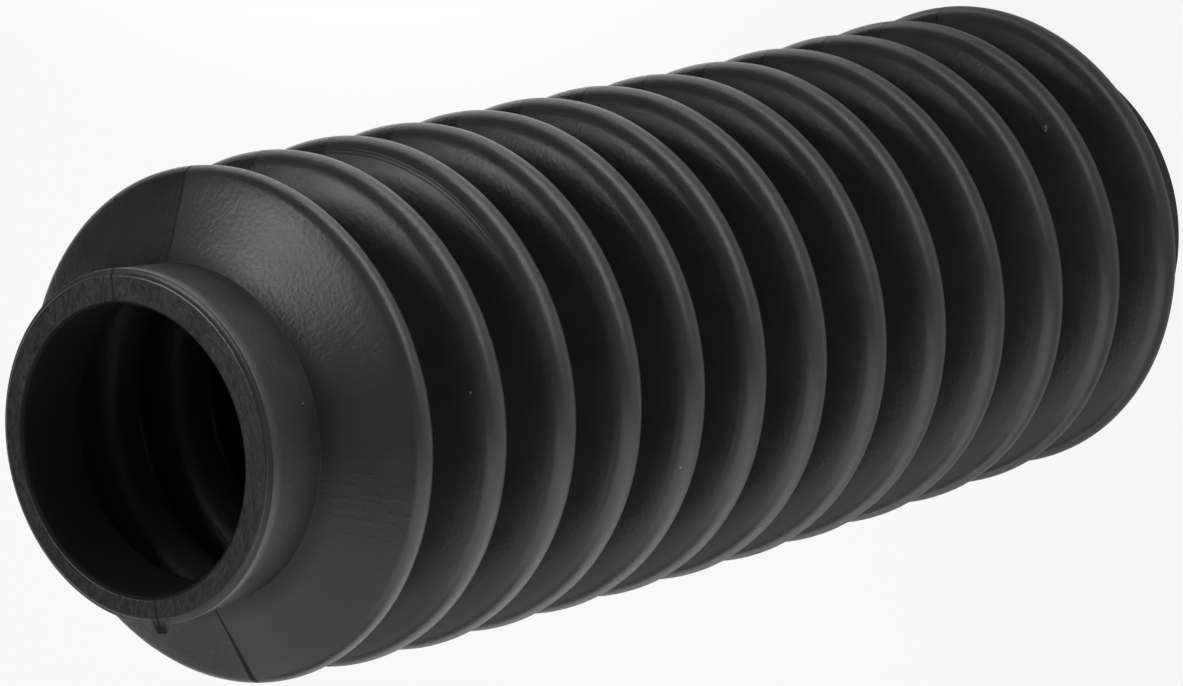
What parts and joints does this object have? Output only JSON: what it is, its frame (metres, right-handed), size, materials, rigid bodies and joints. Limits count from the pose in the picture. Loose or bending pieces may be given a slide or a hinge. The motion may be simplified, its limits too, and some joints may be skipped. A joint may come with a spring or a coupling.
{
  "type": "rubber bellows boot",
  "caption": "Black moulded rubber bellows boot with a thick gripping collar at each end, which covers and seals a sliding fork tube or shaft.",
  "frame": {"origin": "centre of the large collar's end face, on which the boot stands", "axes": "+Z along the boot's axis, from the large collar to the small collar; X and Y are free, because the boot is a body of revolution"},
  "size_m": [0.0536, 0.0536, 0.1561],
  "materials": {
    "rubber": "satin"
  },
  "bodies": {
    "root": {"bellows": "rubber"}
  },
  "joints": []
}
